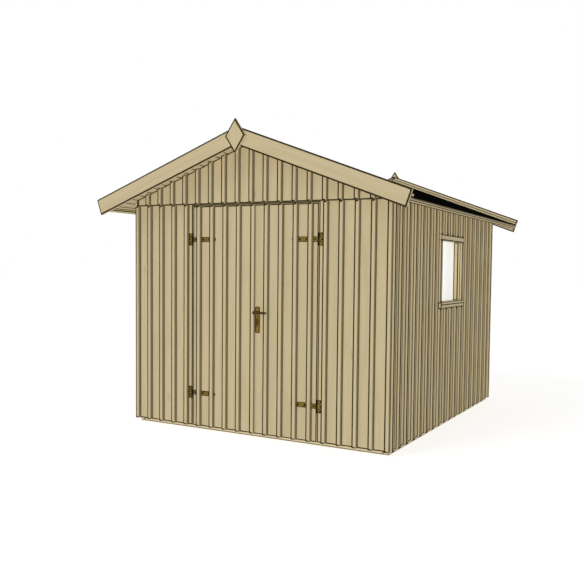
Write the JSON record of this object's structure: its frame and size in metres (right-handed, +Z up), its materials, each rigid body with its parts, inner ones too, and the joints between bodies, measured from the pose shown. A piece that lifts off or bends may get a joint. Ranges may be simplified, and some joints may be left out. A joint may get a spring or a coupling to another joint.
{
  "type": "wooden garden shed",
  "caption": "Board-and-batten garden shed with a felted gable roof, outward-opening double doors and side windows.",
  "frame": {"origin": "centre of the footprint, on the ground under the floor bearers", "axes": "+Z up, -Y out of the doors, +X to the right seen from the front"},
  "size_m": [3.054, 3.002, 2.5936],
  "materials": {
    "timber": "pale treated softwood, matte",
    "roofing_felt": "black mineral felt, matte",
    "opal_glazing": "white opal acrylic sheet, smooth",
    "dark_brass": "aged dark brass, satin"
  },
  "bodies": {
    "shed": {"side_bearers": "timber", "cross_joists": "timber", "floor_boards": "timber", "front_wall_left": "timber", "front_wall_right": "timber", "door_header": "timber", "front_gable": "timber", "back_wall": "timber", "back_gable": "timber", "left_wall": "timber", "right_wall": "timber", "front_battens": "timber", "gable_battens": "timber", "back_battens": "timber", "left_battens": "timber", "right_battens": "timber", "door_posts": "timber", "wall_studs": "timber", "wall_plates": "timber", "ridge_beam": "timber", "left_rafters": "timber", "right_rafters": "timber", "left_roof_boards": "timber", "right_roof_boards": "timber", "roof_felt": "roofing_felt", "eave_battens": "timber", "verge_battens": "timber", "front_bargeboards": "timber", "back_bargeboards": "timber", "finials": "timber", "window_casings": "timber", "window_frames": "timber", "window_panes": "opal_glazing", "hinge_butts": "dark_brass"},
    "left_door": {"left_door_boards": "timber", "left_door_battens": "timber", "left_door_ledges": "timber", "left_door_straps": "dark_brass"},
    "right_door": {"right_door_boards": "timber", "right_door_battens": "timber", "right_door_ledges": "timber", "right_door_straps": "dark_brass", "handle_plates": "dark_brass"},
    "door_lever": {"lever_handle": "dark_brass"}
  },
  "joints": [
    {"name": "left_door_hinge", "type": "hinge", "parent": "shed", "child": "left_door", "pos_m": [-0.633, -1.265, 0.986], "axis": [0, 0, -1], "range_deg": [0, 120]},
    {"name": "right_door_hinge", "type": "hinge", "parent": "shed", "child": "right_door", "pos_m": [0.633, -1.265, 0.986], "axis": [0, 0, 1], "range_deg": [0, 120]},
    {"name": "lever_turn", "type": "hinge", "parent": "right_door", "child": "door_lever", "pos_m": [0.052, -1.303, 1.047], "axis": [0, 1, 0], "range_deg": [0, 40], "stiffness_Nm_per_rad": 1, "springref_deg": -34.38}
  ]
}
